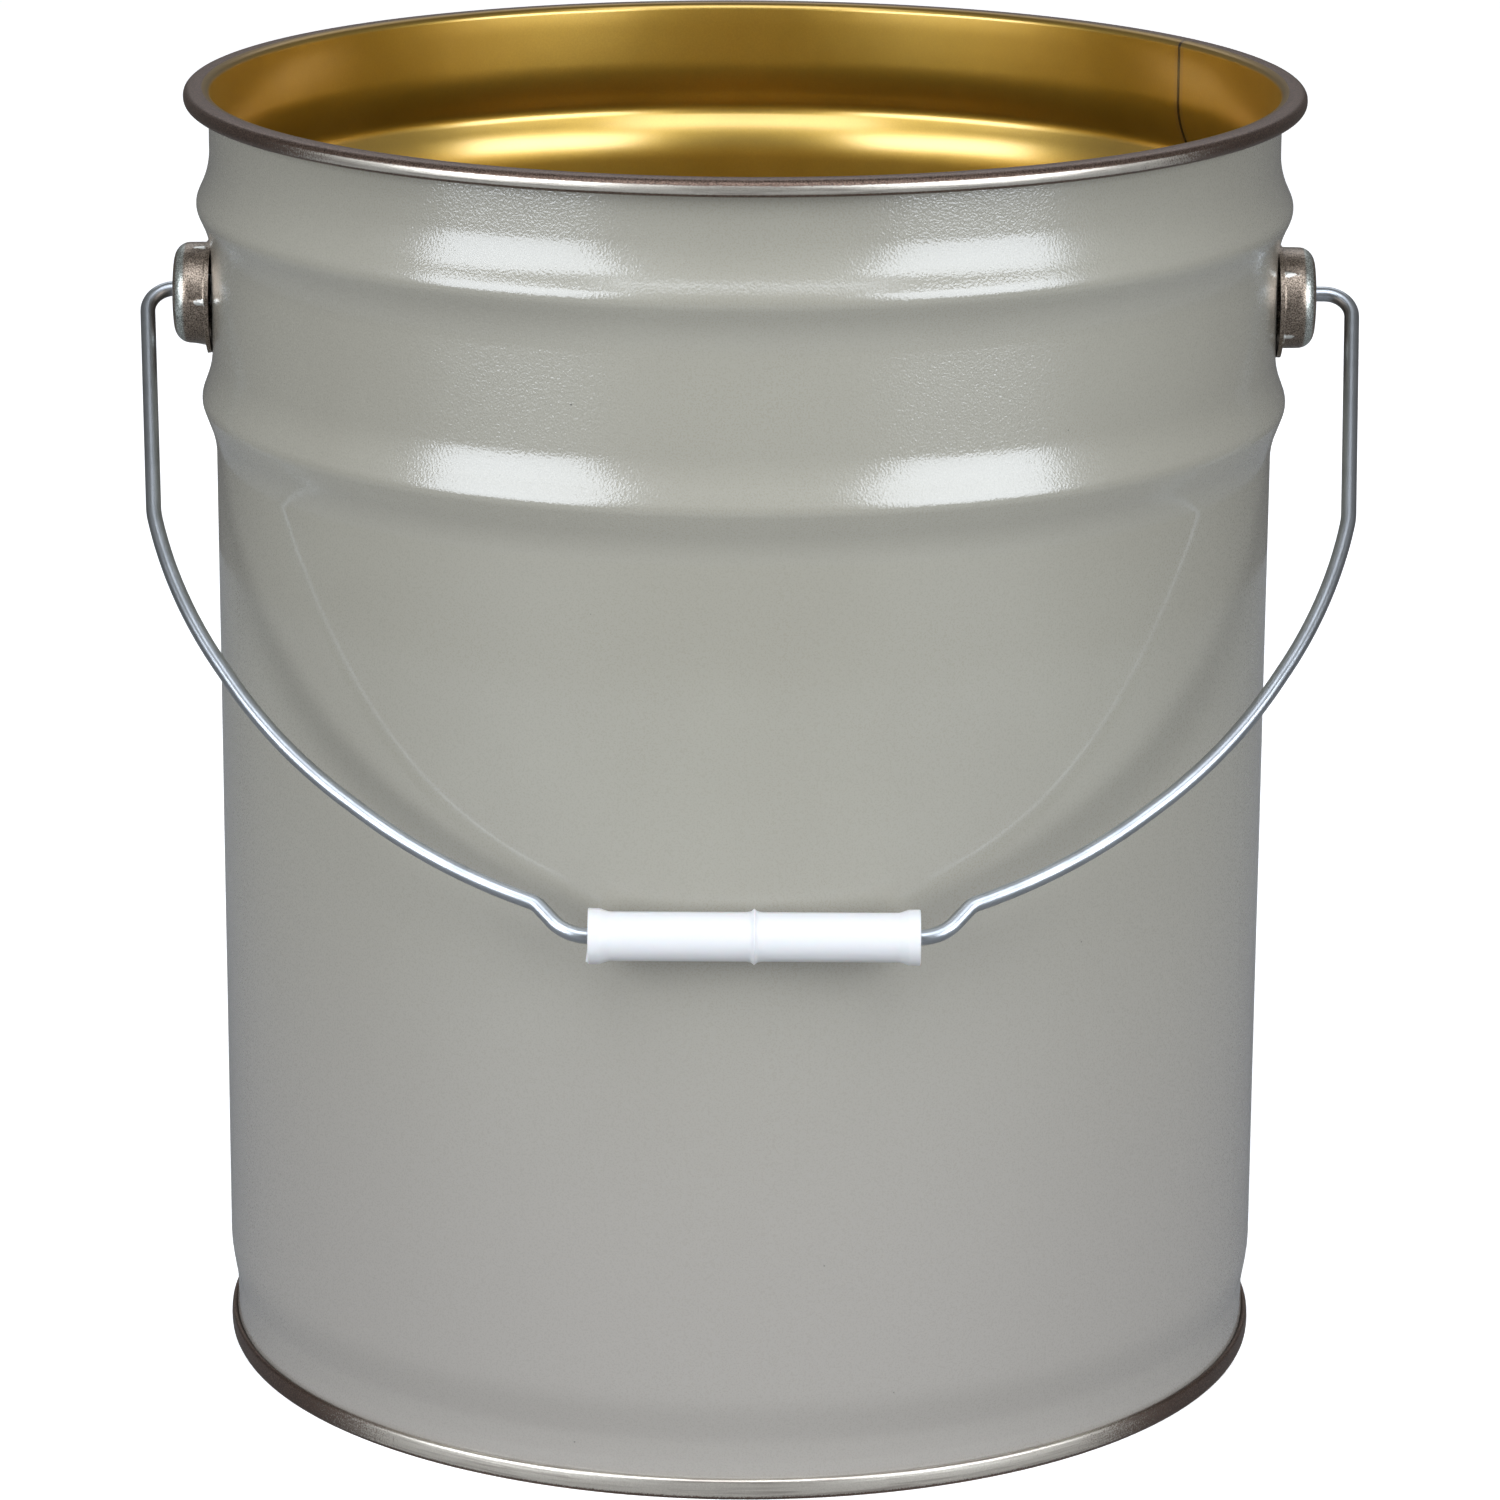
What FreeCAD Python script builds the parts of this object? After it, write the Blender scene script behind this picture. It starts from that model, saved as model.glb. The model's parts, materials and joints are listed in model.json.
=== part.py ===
import FreeCAD, Part
import math
import os

# Open-top, straight-sided steel pail of about 20 litres, with two swaged hoops, a rolled rim, a seamed-on bottom,
# two welded cup ears and a wire bail with a plastic grip. Millimetres, +Z up. The origin is on the pail's own axis,
# in the plane that it stands on. The ears are on the X axis and the bail hangs down in front, towards -Y.

# ---------------------------------------------------------------- driving dimensions

PAIL_HEIGHT = 345.0
BODY_RADIUS = 140.85          # outside of the plain body wall
BODY_SHEET = 0.45
END_SHEET = 0.50

# hoops: ridges swaged outwards, each a crest between two straight flanks
UPPER_HOOP_Z = 314.0
UPPER_HOOP_RISE = 5.0
LOWER_HOOP_Z = 261.7
LOWER_HOOP_RISE = 4.1
UPPER_FLANK_SLOPE = 0.46      # rise per mm of height
LOWER_FLANK_SLOPE = 0.37
CREST_ROUNDING = 5.0
FLANK_ROUNDING = 25.0
WALL_TOP_RISE = 0.15          # the plain wall, where it meets the lower hoop
WAIST_RISE = 0.85             # the band between the hoops, where the ears sit
NECK_RISE = 0.85              # the straight neck under the rim

# rim: the wall rolled outwards into an oval curl
CURL_OUTER_RADIUS = 148.3
CURL_HEIGHT = 4.6
CURL_DROP = 0.45              # how far the curl's shoulders lie below its crown
CURL_LIP_GAP = 0.7            # between the neck and the tucked-in edge
CURL_LIP_RISE = 2.0

# foot: the wall necks in above the double seam
SEAM_OUTER_RADIUS = 141.10
SEAM_HEIGHT = 5.6
SEAM_GAP = 0.05               # film of compound between two layers of sheet
NECK_IN_RADIUS = 139.20       # outside of the necked-in wall
NECK_IN_BOTTOM_Z = 15.5
NECK_IN_TOP_Z = 25.5
HOOK_OVERLAP_BOTTOM = 1.7
HOOK_OVERLAP_TOP = 4.5
SEAM_CORNER = 0.8
HOOK_BEND = 0.52
COMPOUND_HEIGHT = 0.34

# bottom panel
PANEL_RECESS = 8.0            # height of the ring around the panel above the ground
PANEL_FIELD_Z = 6.6
PANEL_CENTRE_Z = 5.6
PANEL_STEP_RADIUS = 128.0
PANEL_CENTRE_RADIUS = 96.0

# cup ears
EAR_CENTRE_Z = 287.6
EAR_SHEET = 1.1
EAR_HEIGHT = 10.4             # from the waist to the cup's face
EAR_CUP_RADIUS = 13.5
EAR_CUP_TAPER = 0.1
EAR_FLANGE_RADIUS = 15.0
EAR_FLANGE_DROP = 1.0         # the flange's middle lies this far below the cup's
EAR_FLANGE_GAP = 0.30         # between the flange and the nearest line of the waist
EAR_DOME = 0.35
EAR_FLAT = 4.0                # radius of the flat around the bail's hole
EAR_CORNER = 3.7
EAR_FOOT_BEND = 1.1
PIVOT_RISE = 1.0              # the bail's hole lies this far above the cup's middle
WELD_COUNT = 4
WELD_RADIUS = 1.1
WELD_CIRCLE_RADIUS = 13.7

# bail: wire bent in one plane that holds the pivot axis
WIRE_RADIUS = 2.0
PIVOT_CLEARANCE = 0.08
BAIL_SIDE_PLAY = 1.4          # the bail has slid this far towards +X in its ears
BAIL_LEAN = 1.8               # and is bent over towards +X by this much at the grip
HALF_SPAN = 160.8             # from the bail's middle to a leg, at the pivots
LEG_END = (155.7, 72.9)       # across, and away from the pivots
BOW_END = (54.6, 190.8)
BOW_RADIUS = 171.0
BOW_CORNERS = 3
BOW_FULLNESS = 0.9            # share of each side of the bow's outline that its rounding takes
SHOULDER_ROUNDING = 7.0
LEG_ROUNDING = 25.0
KNEE_ACROSS = 46.8
KNEE_ROUNDING = (5.0, 12.0)
GRIP_REACH = 200.3            # from the pivot axis to the grip's axis
HEAD_RADIUS = 4.0
HEAD_LENGTH = 2.0
HEAD_ROUNDING = 0.6
HEAD_ACROSS = 143.9           # from the bail's middle to a head's inner face

# grip: moulded tube with a flared collar at each end and a ridge in the middle
GRIP_LENGTH = 83.0
GRIP_RADIUS = 6.2
COLLAR_RADIUS = 7.05
COLLAR_LENGTH = 2.9
COLLAR_FLARE = 2.3
RIDGE_HALF_WIDTH = 2.6
GRIP_EDGE = 0.6
GRIP_BORE_CLEARANCE = 0.08
GRIP_WALL_GAP = 0.4           # between the hanging grip and the body

# ---------------------------------------------------------------- values that follow

HALF_BODY_SHEET = BODY_SHEET / 2
HALF_END_SHEET = END_SHEET / 2
GRIP_AXIS_Y = -(BODY_RADIUS + GRIP_WALL_GAP + COLLAR_RADIUS)
BAIL_TILT = math.asin(-GRIP_AXIS_Y / GRIP_REACH)          # from hanging straight down, towards -Y
PIVOT_Z = EAR_CENTRE_Z + PIVOT_RISE
FLANGE_X = BODY_RADIUS + WAIST_RISE + EAR_FLANGE_GAP      # inner face of an ear's flange
CUP_FACE_X = BODY_RADIUS + WAIST_RISE + EAR_HEIGHT

Z_AXIS = FreeCAD.Vector(0, 0, 1)
X_AXIS = FreeCAD.Vector(1, 0, 0)
ORIGIN = FreeCAD.Vector(0, 0, 0)
EAR_CENTRE = FreeCAD.Vector(0, 0, EAR_CENTRE_Z)


# ---------------------------------------------------------------- outlines

def unit(start, end):
    """Direction from one point of a plane to another."""
    length = math.dist(start, end)
    return ((end[0] - start[0]) / length, (end[1] - start[1]) / length)


def along(point, direction, distance):
    return (point[0] + direction[0] * distance, point[1] + direction[1] * distance)


def turned(direction, angle):
    """The direction turned anticlockwise."""
    c = math.cos(angle)
    s = math.sin(angle)
    return (direction[0] * c - direction[1] * s, direction[0] * s + direction[1] * c)


def rounded_path(corners):
    """Straight runs joined by tangent arcs. Each corner is (u, v, rounding), and the two ends have no rounding.
    Returns stretches, each a list of (point, direction): two for a run, three for an arc."""
    stretches = []
    start = corners[0][:2]
    for before, corner, after in zip(corners, corners[1:], corners[2:]):
        into = unit(before[:2], corner[:2])
        out = unit(corner[:2], after[:2])
        turn = math.atan2(into[0] * out[1] - into[1] * out[0], into[0] * out[0] + into[1] * out[1])
        radius = corner[2]
        setback = radius * math.tan(abs(turn) / 2)
        arc_start = along(corner[:2], into, -setback)
        arc_end = along(corner[:2], out, setback)
        middle = turned(into, turn / 2)
        inward = turned(middle, math.copysign(math.pi / 2, turn))
        arc_middle = along(corner[:2], inward, radius / math.cos(turn / 2) - radius)
        stretches.append([(start, into), (arc_start, into)])
        stretches.append([(arc_start, into), (arc_middle, middle), (arc_end, out)])
        start = arc_end
    end = corners[-1][:2]
    direction = unit(start, end)
    stretches.append([(start, direction), (end, direction)])
    return stretches


def path_edges(stretches, place, shift=0.0):
    """The path's edges, moved sideways to its left by shift, with place turning (u, v) into a point in space."""
    edges = []
    for stretch in stretches:
        points = [place(*along(p, turned(d, math.pi / 2), shift)) for p, d in stretch]
        if len(points) == 2:
            edges.append(Part.LineSegment(*points).toShape())
        else:
            edges.append(Part.Arc(*points).toShape())
    return edges


def line(start, end):
    return Part.LineSegment(start, end).toShape()


def sheet_face(corners, thickness, place):
    """The section of a bent sheet whose middle line is the rounded path."""
    stretches = rounded_path(corners)
    left = path_edges(stretches, place, thickness / 2)
    right = path_edges(stretches, place, -thickness / 2)
    first = line(right[0].valueAt(right[0].FirstParameter), left[0].valueAt(left[0].FirstParameter))
    last = line(left[-1].valueAt(left[-1].LastParameter), right[-1].valueAt(right[-1].LastParameter))
    return closed_face(left + right + [first, last])


def closed_face(edges):
    return Part.Face(Part.Wire(Part.__sortEdges__(edges)))


def upright(radius, z):
    """A point of an outline that is turned around the pail's axis."""
    return FreeCAD.Vector(radius, 0, z)


def sideways(x, radius):
    """A point of an outline that is turned around the ears' axis."""
    return FreeCAD.Vector(x, 0, EAR_CENTRE_Z + radius)


def around_pail(face):
    return face.revolve(ORIGIN, Z_AXIS, 360)


def around_ear(face):
    return face.revolve(EAR_CENTRE, X_AXIS, 360)


# ---------------------------------------------------------------- pail

def seam_layers():
    """Middle radii of the five layers of the double seam, from the outside in."""
    seaming_wall = SEAM_OUTER_RADIUS - HALF_END_SHEET
    mixed_pitch = HALF_END_SHEET + SEAM_GAP + HALF_BODY_SHEET
    body_hook = seaming_wall - mixed_pitch
    end_hook = body_hook - mixed_pitch
    body_wall = end_hook - mixed_pitch
    chuck_wall = body_wall - mixed_pitch
    return seaming_wall, body_hook, end_hook, body_wall, chuck_wall


def hoop_corners(middle_z, rise, slope, below, above):
    """Corners of the wall's middle line over one hoop, from the bottom up. below and above are the rise of the wall
    on either side."""
    base = BODY_RADIUS - HALF_BODY_SHEET
    return [
        (base + below, middle_z - (rise - below) / slope, FLANK_ROUNDING),
        (base + rise, middle_z, CREST_ROUNDING),
        (base + above, middle_z + (rise - above) / slope, FLANK_ROUNDING),
    ]


def wall_corners():
    """The wall's middle line from the lower hoop to the neck."""
    lower = hoop_corners(LOWER_HOOP_Z, LOWER_HOOP_RISE, LOWER_FLANK_SLOPE, WALL_TOP_RISE, WAIST_RISE)
    upper = hoop_corners(UPPER_HOOP_Z, UPPER_HOOP_RISE, UPPER_FLANK_SLOPE, WAIST_RISE, NECK_RISE)
    return lower + upper


def curl_corners():
    """The rolled rim's middle line, from the neck round to the tucked-in edge."""
    neck = BODY_RADIUS + NECK_RISE - HALF_BODY_SHEET
    outside = CURL_OUTER_RADIUS - HALF_BODY_SHEET
    lip = neck + BODY_SHEET + CURL_LIP_GAP
    top = PAIL_HEIGHT - HALF_BODY_SHEET
    bottom = PAIL_HEIGHT - CURL_HEIGHT + HALF_BODY_SHEET
    crown = (neck + outside) / 2
    crown_rounding = 8.0
    crown_flattening = 0.1
    shoulder = 1.75
    lip_bend = 1.1
    return [
        (neck, top - CURL_DROP, shoulder),
        (crown, top + crown_flattening, crown_rounding),
        (outside, top - CURL_DROP, shoulder),
        (outside, bottom, shoulder),
        (lip, bottom, lip_bend),
        (lip, bottom + CURL_LIP_RISE, 0),
    ]


def body_shell():
    """One sheet: hook in the bottom seam, necked-in foot, plain wall, two hoops, neck and curl."""
    _, body_hook, _, body_wall, _ = seam_layers()
    hook_bottom = END_SHEET + COMPOUND_HEIGHT + HALF_BODY_SHEET
    neck_in = NECK_IN_RADIUS - HALF_BODY_SHEET
    foot_rounding = 40.0
    foot = [
        (body_hook, HOOK_OVERLAP_TOP, 0),
        (body_hook, hook_bottom, HOOK_BEND),
        (body_wall, hook_bottom, HOOK_BEND),
        (body_wall, SEAM_HEIGHT + 1.0, 3.0),
        (neck_in, SEAM_HEIGHT + 4.0, 8.0),
        (neck_in, NECK_IN_BOTTOM_Z, 20.0),
        (BODY_RADIUS - HALF_BODY_SHEET, NECK_IN_TOP_Z, foot_rounding),
        (BODY_RADIUS - HALF_BODY_SHEET, 3 * NECK_IN_TOP_Z, foot_rounding),
    ]
    return around_pail(sheet_face(foot + wall_corners() + curl_corners(), BODY_SHEET, upright))


def bottom_end():
    """Drawn panel with its chuck wall, seaming panel and hook."""
    seaming_wall, _, end_hook, _, chuck_wall = seam_layers()
    top = SEAM_HEIGHT - HALF_END_SHEET
    corners = [
        (end_hook, HOOK_OVERLAP_BOTTOM, 0),
        (end_hook, top, HOOK_BEND),
        (seaming_wall, top, HOOK_BEND),
        (seaming_wall, HALF_END_SHEET, SEAM_CORNER),
        (chuck_wall, HALF_END_SHEET, SEAM_CORNER),
        (chuck_wall, PANEL_RECESS, 1.6),
        (PANEL_STEP_RADIUS + 6.0, PANEL_RECESS, 6.0),
        (PANEL_STEP_RADIUS, PANEL_FIELD_Z, 6.0),
        (PANEL_CENTRE_RADIUS + 4.0, PANEL_FIELD_Z, 6.0),
        (PANEL_CENTRE_RADIUS, PANEL_CENTRE_Z, 6.0),
        (0, PANEL_CENTRE_Z, 0),
    ]
    return around_pail(sheet_face(corners, END_SHEET, upright))


def bottom_seam_compound():
    """Ring of sealing compound between the end's seaming panel and the body's hook."""
    seaming_wall, _, _, _, chuck_wall = seam_layers()
    inner = chuck_wall + SEAM_CORNER
    outer = seaming_wall - SEAM_CORNER
    corners = [upright(inner, END_SHEET), upright(outer, END_SHEET)]
    corners += [upright(outer, END_SHEET + COMPOUND_HEIGHT), upright(inner, END_SHEET + COMPOUND_HEIGHT)]
    return around_pail(Part.Face(Part.makePolygon(corners + corners[:1])))


def wall_core():
    """The space that the hooped wall encloses, as a thick ring: an ear's welds end on its surface."""
    inside = BODY_RADIUS - 30
    bottom = LOWER_HOOP_Z - 30
    top = UPPER_HOOP_Z + 18
    base = BODY_RADIUS - HALF_BODY_SHEET
    corners = [(base + WALL_TOP_RISE, bottom, 0)] + wall_corners() + [(base + NECK_RISE, top, 0)]
    outer = path_edges(rounded_path(corners), upright, -HALF_BODY_SHEET)
    lower_end = outer[0].valueAt(outer[0].FirstParameter)
    upper_end = outer[-1].valueAt(outer[-1].LastParameter)
    rest = [line(lower_end, upright(inside, bottom)), line(upright(inside, bottom), upright(inside, top))]
    return around_pail(closed_face(outer + rest + [line(upright(inside, top), upper_end)]))


# ---------------------------------------------------------------- ears

def ear_cup(core):
    """Pressed cup with an off-centre flange, a domed face with the bail's hole, and weld projections behind the
    flange. Made on the +X side."""
    face_x = CUP_FACE_X - EAR_SHEET / 2
    flange_x = FLANGE_X + EAR_SHEET / 2
    root = EAR_CUP_RADIUS - EAR_SHEET / 2
    dome_rounding = 20.0
    depth = 6.0
    corners = [
        (face_x, 0, 0),
        (face_x, EAR_FLAT, dome_rounding),
        (face_x - EAR_DOME, root - EAR_CUP_TAPER, EAR_CORNER),
        (flange_x, root, EAR_FOOT_BEND),
        (flange_x, EAR_FLANGE_RADIUS + 2 * EAR_FLANGE_DROP, 0),
    ]
    flange_middle = FreeCAD.Vector(FLANGE_X - depth, 0, EAR_CENTRE_Z - EAR_FLANGE_DROP)
    blank = Part.makeCylinder(EAR_FLANGE_RADIUS, 2 * depth + EAR_HEIGHT, flange_middle, X_AXIS)
    ear = around_ear(sheet_face(corners, EAR_SHEET, sideways)).common(blank)
    for i in range(WELD_COUNT):
        angle = 2 * math.pi * (i + 0.5) / WELD_COUNT
        out = FreeCAD.Vector(0, math.cos(angle), math.sin(angle)) * WELD_CIRCLE_RADIUS
        ear = ear.fuse(Part.makeCylinder(WELD_RADIUS, depth + EAR_SHEET / 2, flange_middle + out, X_AXIS))
    inside_cup = FreeCAD.Vector(face_x - depth, 0, PIVOT_Z)
    hole = Part.makeCylinder(WIRE_RADIUS + PIVOT_CLEARANCE, 2 * depth, inside_cup, X_AXIS)
    return ear.cut(hole).cut(core)


def opposite(shape):
    """The same shape turned half round the pail's axis."""
    copy = shape.copy()
    copy.rotate(ORIGIN, Z_AXIS, 180)
    return copy


# ---------------------------------------------------------------- bail and grip

def in_bail_plane(across, reach):
    """A point of the hanging bail, from its distance across and away from the pivot axis."""
    y = -reach * math.sin(BAIL_TILT)
    z = PIVOT_Z - reach * math.cos(BAIL_TILT)
    return FreeCAD.Vector(BAIL_SIDE_PLAY + across, y, z)


def leaning(corner):
    """The corner of the bail, moved sideways as the bail leans over."""
    across, reach, rounding = corner
    return (across + BAIL_LEAN * reach / GRIP_REACH, reach, rounding)


def bow_corners():
    """Corners of the outline that wraps the bow's arc, from the leg's end to the knee."""
    chord = math.dist(LEG_END, BOW_END)
    middle = ((LEG_END[0] + BOW_END[0]) / 2, (LEG_END[1] + BOW_END[1]) / 2)
    to_centre = turned(unit(LEG_END, BOW_END), math.pi / 2)
    centre = along(middle, to_centre, math.sqrt(BOW_RADIUS ** 2 - (chord / 2) ** 2))
    first = math.atan2(LEG_END[1] - centre[1], LEG_END[0] - centre[0])
    step = 2 * math.asin(chord / 2 / BOW_RADIUS) / BOW_CORNERS
    outline_radius = BOW_RADIUS / math.cos(step / 2)
    corners = []
    for i in range(BOW_CORNERS):
        angle = first + (i + 0.5) * step
        across = centre[0] + outline_radius * math.cos(angle)
        reach = centre[1] + outline_radius * math.sin(angle)
        corners.append((across, reach, BOW_RADIUS * BOW_FULLNESS))
    return corners


def half_bail_corners():
    """One half of the bail's middle line, from the head in the ear to the grip's middle."""
    pivot_end = [(HEAD_ACROSS + HEAD_LENGTH / 2, 0, 0), (HALF_SPAN, 0, SHOULDER_ROUNDING)]
    leg = [(*LEG_END, LEG_ROUNDING)]
    knee = [(*BOW_END, KNEE_ROUNDING[0]), (KNEE_ACROSS, GRIP_REACH, KNEE_ROUNDING[1])]
    return pivot_end + leg + bow_corners() + knee


def bail_wire():
    """The bent wire with an upset head on each end."""
    half = half_bail_corners()
    other = [(-across, reach, rounding) for across, reach, rounding in reversed(half)]
    corners = [leaning(corner) for corner in half + other]
    path = Part.Wire(path_edges(rounded_path(corners), in_bail_plane))
    end = in_bail_plane(*half[0][:2])
    ring = Part.Wire([Part.makeCircle(WIRE_RADIUS, end, X_AXIS)])
    bail = path.makePipeShell([ring], True, False)
    for side in (-1, 1):
        inner = in_bail_plane(side * HEAD_ACROSS, 0)
        head = Part.makeCylinder(HEAD_RADIUS, HEAD_LENGTH, inner, X_AXIS * side)
        rims = [edge for edge in head.Edges if edge.Closed and edge.Length > math.tau * WIRE_RADIUS]
        bail = bail.fuse(head.makeFillet(HEAD_ROUNDING, rims))
    return bail.removeSplitter()


def grip():
    """Moulded tube on the bail's middle."""
    bore = WIRE_RADIUS + GRIP_BORE_CLEARANCE
    half_length = GRIP_LENGTH / 2
    half_outline = [
        (half_length, bore),
        (half_length, COLLAR_RADIUS - GRIP_EDGE),
        (half_length - GRIP_EDGE, COLLAR_RADIUS),
        (half_length - COLLAR_LENGTH, COLLAR_RADIUS - 0.25),
        (half_length - COLLAR_LENGTH - COLLAR_FLARE, GRIP_RADIUS),
        (RIDGE_HALF_WIDTH, GRIP_RADIUS),
        (GRIP_EDGE, COLLAR_RADIUS),
    ]
    outline = half_outline + [(-across, radius) for across, radius in reversed(half_outline)]
    axis_point = in_bail_plane(BAIL_LEAN, GRIP_REACH)
    points = [axis_point + FreeCAD.Vector(across, 0, radius) for across, radius in outline]
    return Part.Face(Part.makePolygon(points + points[:1])).revolve(axis_point, X_AXIS, 360)


# ---------------------------------------------------------------- parts

def make_parts():
    core = wall_core()
    ear = ear_cup(core)
    return {
        "body_shell": body_shell(),
        "bottom_end": bottom_end(),
        "bottom_seam_compound": bottom_seam_compound(),
        "ear_cup_right": ear,
        "ear_cup_left": opposite(ear),
        "bail_wire": bail_wire(),
        "grip": grip(),
    }


def as_solid(shape):
    """The shape's one solid."""
    solids = shape.Solids
    if len(solids) != 1 or not solids[0].isValid():
        raise ValueError(f"expected one valid solid, got {len(solids)}")
    return solids[0]


os.makedirs("parts", exist_ok=True)
for name, shape in make_parts().items():
    solid = as_solid(shape)
    solid.exportStep(f"parts/{name}.step")
    box = solid.BoundBox
    print(f"{name}: {solid.Volume / 1000:.2f} cm3, x {box.XMin:.2f} {box.XMax:.2f}, "
          f"y {box.YMin:.2f} {box.YMax:.2f}, z {box.ZMin:.2f} {box.ZMax:.2f}")
grip_at = in_bail_plane(BAIL_LEAN, GRIP_REACH)
print(f"bail tilt {math.degrees(BAIL_TILT):.3f} degrees, grip at {grip_at.x:.3f}, {grip_at.y:.3f}, {grip_at.z:.3f}")
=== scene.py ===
"""Looks of an open-top steel pail with a wire bail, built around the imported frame.

Metres, +Z up. The pail stands on z = 0 with its axis on Z and its ears on X. The bail hangs in front,
towards -Y.
"""

import json
import math
import bpy
from mathutils import Matrix, Vector, noise


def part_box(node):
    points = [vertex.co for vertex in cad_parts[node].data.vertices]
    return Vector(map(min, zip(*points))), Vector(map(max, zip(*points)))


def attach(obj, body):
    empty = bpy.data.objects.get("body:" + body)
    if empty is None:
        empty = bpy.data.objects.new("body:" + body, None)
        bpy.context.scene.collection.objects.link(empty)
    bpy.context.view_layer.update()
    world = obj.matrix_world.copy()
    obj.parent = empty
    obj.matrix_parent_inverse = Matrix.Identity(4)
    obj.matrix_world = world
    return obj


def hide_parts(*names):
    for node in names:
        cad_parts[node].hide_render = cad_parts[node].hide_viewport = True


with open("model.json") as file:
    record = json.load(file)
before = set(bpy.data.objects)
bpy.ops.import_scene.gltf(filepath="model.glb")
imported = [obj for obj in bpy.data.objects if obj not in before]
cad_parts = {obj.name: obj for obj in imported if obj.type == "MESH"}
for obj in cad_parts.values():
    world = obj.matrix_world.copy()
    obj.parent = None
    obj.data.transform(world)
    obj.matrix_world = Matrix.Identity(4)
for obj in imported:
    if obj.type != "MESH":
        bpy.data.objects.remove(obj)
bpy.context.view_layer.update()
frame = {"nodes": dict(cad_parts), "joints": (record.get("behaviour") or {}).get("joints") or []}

# ---------------------------------------------------------------- driving dimensions, as in the design

MM = 0.001

joints = {joint["name"]: Vector(joint["pos_m"]) for joint in frame["joints"]}
PIVOT = joints["bail_swing"]
GRIP_CENTRE = joints["grip_spin"]
PAIL_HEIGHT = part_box("body_shell")[1].z

BODY_RADIUS = 140.85 * MM
BODY_SHEET = 0.45 * MM
END_SHEET = 0.50 * MM

UPPER_HOOP_Z = 314.0 * MM
UPPER_HOOP_RISE = 5.0 * MM
UPPER_FLANK_SLOPE = 0.46
LOWER_HOOP_Z = 261.7 * MM
LOWER_HOOP_RISE = 4.1 * MM
LOWER_FLANK_SLOPE = 0.37
CREST_ROUNDING = 5.0 * MM
FLANK_ROUNDING = 25.0 * MM
WALL_TOP_RISE = 0.15 * MM
WAIST_RISE = 0.85 * MM
NECK_RISE = 0.85 * MM

CURL_OUTER_RADIUS = 148.3 * MM
CURL_HEIGHT = 4.6 * MM
CURL_DROP = 0.45 * MM
CURL_LIP_GAP = 0.7 * MM
CURL_LIP_RISE = 2.0 * MM

SEAM_OUTER_RADIUS = 141.10 * MM
SEAM_HEIGHT = 5.6 * MM
SEAM_GAP = 0.05 * MM
NECK_IN_RADIUS = 139.20 * MM
NECK_IN_BOTTOM_Z = 15.5 * MM
NECK_IN_TOP_Z = 25.5 * MM
HOOK_OVERLAP_BOTTOM = 1.7 * MM
HOOK_OVERLAP_TOP = 4.5 * MM
SEAM_CORNER = 0.8 * MM
HOOK_BEND = 0.52 * MM
COMPOUND_HEIGHT = 0.34 * MM

PANEL_RECESS = 8.0 * MM
PANEL_FIELD_Z = 6.6 * MM
PANEL_CENTRE_Z = 5.6 * MM
PANEL_STEP_RADIUS = 128.0 * MM
PANEL_CENTRE_RADIUS = 96.0 * MM
PANEL_STEP_WIDTH = 4.0 * MM
PANEL_BEND = 6.0 * MM

EAR_SHEET = 1.1 * MM
EAR_HEIGHT = 10.4 * MM
EAR_CUP_RADIUS = 13.5 * MM
EAR_CUP_TAPER = 0.1 * MM
EAR_FLANGE_RADIUS = 15.0 * MM
EAR_FLANGE_DROP = 1.0 * MM
EAR_FLANGE_GAP = 0.30 * MM
EAR_DOME = 0.35 * MM
EAR_FLAT = 4.0 * MM
EAR_CORNER = 3.7 * MM
EAR_FOOT_BEND = 1.1 * MM
PIVOT_RISE = 1.0 * MM

WIRE_RADIUS = 2.0 * MM
PIVOT_CLEARANCE = 0.08 * MM
BAIL_LEAN = 1.8 * MM
HALF_SPAN = 160.8 * MM
LEG_END = (155.7 * MM, 72.9 * MM)
BOW_END = (54.6 * MM, 190.8 * MM)
BOW_RADIUS = 171.0 * MM
BOW_CORNERS = 3
BOW_FULLNESS = 0.9
SHOULDER_ROUNDING = 7.0 * MM
LEG_ROUNDING = 25.0 * MM
KNEE_ACROSS = 46.8 * MM
KNEE_ROUNDING = (5.0 * MM, 12.0 * MM)
HEAD_RADIUS = 4.0 * MM
HEAD_LENGTH = 2.0 * MM
HEAD_ROUNDING = 0.6 * MM
HEAD_ACROSS = 143.9 * MM

GRIP_LENGTH = 83.0 * MM
GRIP_RADIUS = 6.2 * MM
COLLAR_RADIUS = 7.05 * MM
COLLAR_LENGTH = 2.9 * MM
COLLAR_FLARE = 2.3 * MM
GRIP_BORE_CLEARANCE = 0.08 * MM

# the bail hangs in a tilted plane through the pivot axis
GRIP_REACH = math.hypot(GRIP_CENTRE.y - PIVOT.y, GRIP_CENTRE.z - PIVOT.z)
BAIL_TILT = math.atan2(PIVOT.y - GRIP_CENTRE.y, PIVOT.z - GRIP_CENTRE.z)
BAIL_MIDDLE_X = GRIP_CENTRE.x - BAIL_LEAN

# the welded side seam of the body, which shows inside the far wall and at the back
WELD_AZIMUTH = math.radians(32.0)
WELD_HALF_WIDTH = 0.45 * MM
WELD_RISE = 0.06 * MM

# how finely the meshes follow their outlines
RUN_STEP = 6.0 * MM
ARC_STEP = 0.9 * MM
TURN_STEP = math.radians(10.0)
PAIL_STEPS = 216
EAR_STEPS = 120
GRIP_STEPS = 72
WIRE_SIDES = 28
SHARP_ANGLE = math.radians(38.0)

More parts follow.
